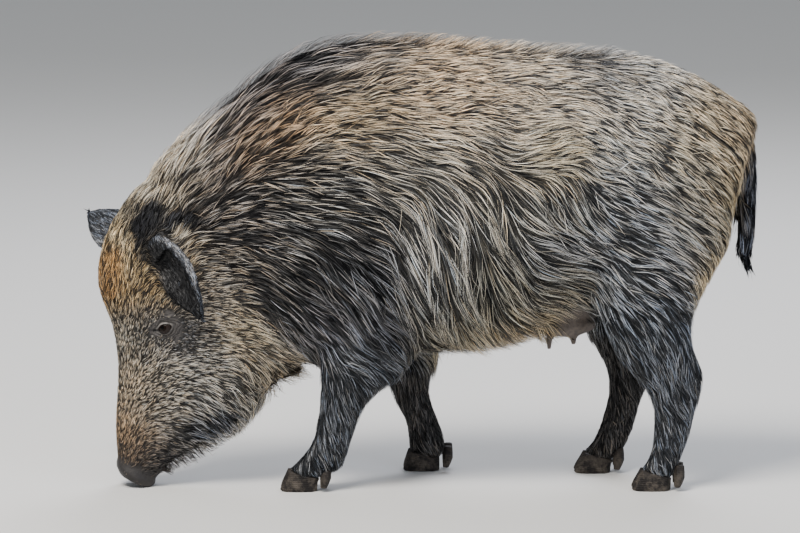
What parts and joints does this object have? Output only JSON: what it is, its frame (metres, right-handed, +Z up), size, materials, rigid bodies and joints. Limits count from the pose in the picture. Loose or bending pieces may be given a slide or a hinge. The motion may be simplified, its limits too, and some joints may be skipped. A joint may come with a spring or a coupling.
{
  "type": "wild boar",
  "caption": "Wild boar sow in winter coat, life size, walking with its head down and its snout on the ground",
  "frame": {"origin": "middle of the bounding box, on the ground", "axes": "+X towards the tail, +Y towards the sow's right side, +Z up"},
  "size_m": [1.2152, 0.4028, 0.8213],
  "materials": {
    "coat": "bristly winter coat, dark with straw tips, over grey skin",
    "nose_skin": "bare, moist, matt",
    "horn": "worn horn",
    "eye": "wet and dark",
    "udder_skin": "bare, wrinkled, matt"
  },
  "bodies": {
    "root": {"barrel": "coat", "ear_left": "coat", "ear_right": "coat", "eye_left": "eye", "eye_right": "eye", "foreleg_left_cannon": "coat", "foreleg_left_dewclaw_inner": "horn", "foreleg_left_dewclaw_outer": "horn", "foreleg_left_forearm": "coat", "foreleg_left_hoof_inner": "horn", "foreleg_left_hoof_outer": "horn", "foreleg_left_shoulder": "coat", "foreleg_right_cannon": "coat", "foreleg_right_dewclaw_inner": "horn", "foreleg_right_dewclaw_outer": "horn", "foreleg_right_forearm": "coat", "foreleg_right_hoof_inner": "horn", "foreleg_right_hoof_outer": "horn", "foreleg_right_shoulder": "coat", "forequarters": "coat", "head": "coat", "hindleg_left_cannon": "coat", "hindleg_left_dewclaw_inner": "horn", "hindleg_left_dewclaw_outer": "horn", "hindleg_left_hoof_inner": "horn", "hindleg_left_hoof_outer": "horn", "hindleg_left_shank": "coat", "hindleg_left_thigh": "coat", "hindleg_right_cannon": "coat", "hindleg_right_dewclaw_inner": "horn", "hindleg_right_dewclaw_outer": "horn", "hindleg_right_hoof_inner": "horn", "hindleg_right_hoof_outer": "horn", "hindleg_right_shank": "coat", "hindleg_right_thigh": "coat", "hindquarters": "coat", "lower_jaw": "coat", "neck": "coat", "nose_disc": "nose_skin", "snout": "coat", "tail": "coat", "tail_tuft": "coat", "udder": "udder_skin"}
  },
  "joints": []
}
